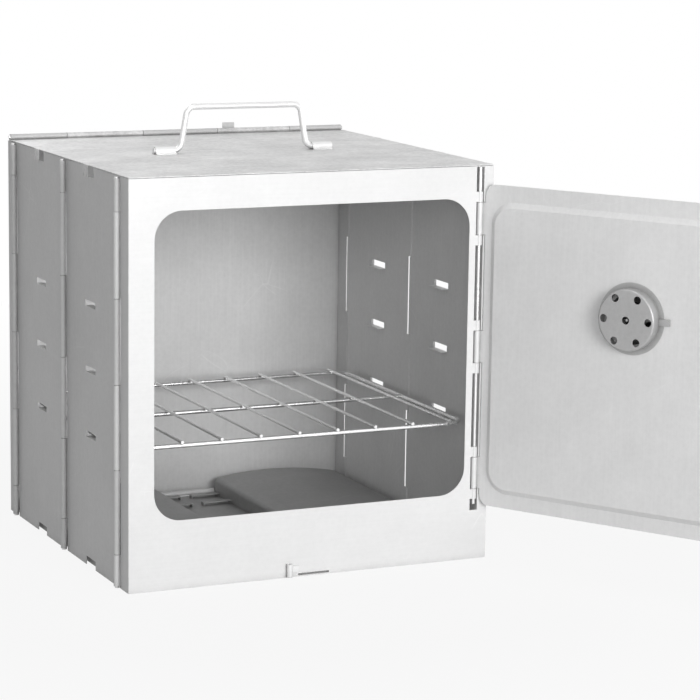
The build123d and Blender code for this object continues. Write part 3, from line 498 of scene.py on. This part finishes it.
# ---- Thermometer --------------------------------------------------------------------------------
# A pierced guard cup covers the bimetal coil inside. Outside, a polished case holds an enamelled
# dial with printed divisions and figures, a needle, and a glass.
guard_finish = metal_finish("guard_cup", tone=0.45, spread=0.04, stretch=even_grain, rough=0.40,
                            metallic=0.4, bump=0.10, scuff_share=0.3, rub_level=0.80, seam_shade_share=0.9)
case_finish = metal_finish("gauge_case", tone=0.80, spread=0.03, stretch=even_grain, rough=0.16,
                           metallic=1.0, bump=0.04, scuff_share=0.3, rub_level=0.92, seam_shade_share=0.5)
coil_finish = metal_finish("bimetal", tone=0.42, spread=0.05, stretch=even_grain, rough=0.34,
                           metallic=1.0, bump=0.08, scuff_share=0.1, rub_level=0.60, seam_shade_share=0.8)
# The guard clip takes the guard cup's darker finish instead of the pale clip steel, as painted shade for
# the shadow across half of it.
dress(guard_finish, "thermometer_guard", "thermometer_guard_clip")
dress(case_finish, "thermometer_case")
dress(coil_finish, "thermometer_coil", "thermometer_spindle")

enamel_shade = 0.90          # darkest part of the enamel, over its own colour
enamel_rougher_by = 0.10
enamel_bump = 0.08
enamel_depth = 0.0002


def enamel_finish(name, colour, rough):
    """Stoved enamel or print, with faint orange peel and a slow change of tone."""
    finish = bpy.data.materials.new(name)
    finish.use_nodes = True
    tree = finish.node_tree
    skin = tree.nodes["Principled BSDF"]
    place = shader_node(tree, "TexCoord").outputs["Object"]
    drift = ramp_of(tree, noise_of(tree, place, scale=60.0, detail=3.0), low=0.35, high=0.65)
    darker = tuple(part * enamel_shade for part in colour)
    tree.links.new(tint_of(tree, drift, darker, colour), skin.inputs["Base Color"])
    gloss = ramp_of(tree, drift, 0.0, 1.0, rough, rough + enamel_rougher_by)
    tree.links.new(gloss, skin.inputs["Roughness"])
    raised = shader_node(tree, "Bump")
    raised.inputs["Strength"].default_value = enamel_bump
    raised.inputs["Distance"].default_value = enamel_depth
    tree.links.new(noise_of(tree, place, scale=700.0, detail=2.0), raised.inputs["Height"])
    tree.links.new(raised.outputs["Normal"], skin.inputs["Normal"])
    return finish


dial_finish = enamel_finish("dial_face", colour=(0.88, 0.88, 0.84), rough=0.35)
needle_finish = enamel_finish("pointer_paint", colour=(0.05, 0.05, 0.05), rough=0.40)
print_finish = enamel_finish("dial_print", colour=(0.035, 0.035, 0.035), rough=0.45)
dress(dial_finish, "thermometer_dial")
dress(needle_finish, "thermometer_pointer")

lens_glass = bpy.data.materials.new("dial_glass")
lens_glass.use_nodes = True
glass_tree = lens_glass.node_tree
glass = glass_tree.nodes["Principled BSDF"]
glass.inputs["Base Color"].default_value = (0.97, 0.98, 0.98, 1)
glass.inputs["Transmission Weight"].default_value = 1.0
glass.inputs["IOR"].default_value = 1.46
glass_place = shader_node(glass_tree, "TexCoord").outputs["Object"]
smear = noise_of(glass_tree, glass_place, scale=80.0, detail=3.0)
glass_tree.links.new(ramp_of(glass_tree, smear, low=0.45, high=0.75, to_low=0.02, to_high=0.10),
                     glass.inputs["Roughness"])
dress(lens_glass, "thermometer_lens")

# Dial print: divisions on a 270 degree arc and six figures, a hair above the enamel. The dial is
# read from outside the door, with its top along Z.
door_open = math.radians(121.5)     # how far the door stands open at rest
dial_thickness = 0.0004
scale_start = 225.0          # degrees, anticlockwise from the viewer's right
scale_sweep = 270.0
small_divisions = 20
divisions_per_figure = 4
heat_per_figure = 100        # degrees of heat from one figure to the next
tick_outer = 0.0212
tick_small = 0.0016
tick_large = 0.0032
tick_width = 0.00035
large_tick_boldness = 1.6
print_height = 0.00006
figure_ring = 0.0148
figure_size = 0.0040
dial_low, dial_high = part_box("thermometer_dial")
dial_centre = (Vector(dial_low) + Vector(dial_high)) / 2
dial_out = Vector((math.sin(door_open), -math.cos(door_open), 0.0))
dial_up = Vector((0, 0, 1))
dial_right = dial_up.cross(dial_out)
on_dial = Matrix((dial_right, dial_up, dial_out)).transposed().to_4x4()
on_dial = Matrix.Translation(dial_centre + dial_out * (dial_thickness / 2 + print_height)) @ on_dial


def dial_angle(division):
    """Direction of a division, in radians anticlockwise from the viewer's right."""
    return math.radians(scale_start - scale_sweep * division / small_divisions)


b = bmesh.new()
for k in range(small_divisions + 1):
    large = k % divisions_per_figure == 0
    length = tick_large if large else tick_small
    width = tick_width * (large_tick_boldness if large else 1.0)
    out = Matrix.Translation((tick_outer - length / 2, 0, 0))
    spoke = Matrix.Rotation(dial_angle(k), 4, "Z") @ out
    stroke = Matrix.Diagonal((length, width, print_height, 1))
    bmesh.ops.create_cube(b, size=1.0, matrix=on_dial @ spoke @ stroke)
division_mesh = mesh_of("dial_divisions", b)
dial_divisions = put_in_scene("dial_divisions", division_mesh)
division_mesh.materials.append(print_finish)
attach(dial_divisions, "door")

for k in range(small_divisions // divisions_per_figure + 1):
    text = bpy.data.curves.new(f"figure_text_{k}", "FONT")
    text.body = str(heat_per_figure * k)
    text.size = figure_size
    text.extrude = print_height / 2
    text.align_x = "CENTER"
    text.align_y = "CENTER"
    holder = put_in_scene(f"figure_text_{k}", text)
    bpy.context.view_layer.update()
    shaped = holder.evaluated_get(bpy.context.evaluated_depsgraph_get())
    figure_mesh = bpy.data.meshes.new_from_object(shaped)
    bpy.data.objects.remove(holder)
    figure_mesh.name = f"dial_figure_{k}"
    angle = dial_angle(k * divisions_per_figure)
    spot = Matrix.Translation((figure_ring * math.cos(angle), figure_ring * math.sin(angle), 0))
    figure_mesh.transform(on_dial @ spot)
    figure = put_in_scene(f"dial_figure_{k}", figure_mesh)
    figure_mesh.materials.clear()
    figure_mesh.materials.append(print_finish)
    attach(figure, "door")


# ---- Door latch ---------------------------------------------------------------------------------
# A plated turn handle outside, on a spindle that passes through the door to a flat tongue inside.
# Polished steel, with a few scratches from use.
latch_grain = (9.0, 9.0, 0.4)
latch_finish = metal_finish("latch_steel", tone=0.80, spread=0.04, stretch=latch_grain, rough=0.24,
                            metallic=1.0, bump=0.06, scuff_share=0.5, rub_level=0.92, seam_shade_share=0.6)
dress(latch_finish, "latch_handle", "latch_spindle", "latch_tongue")
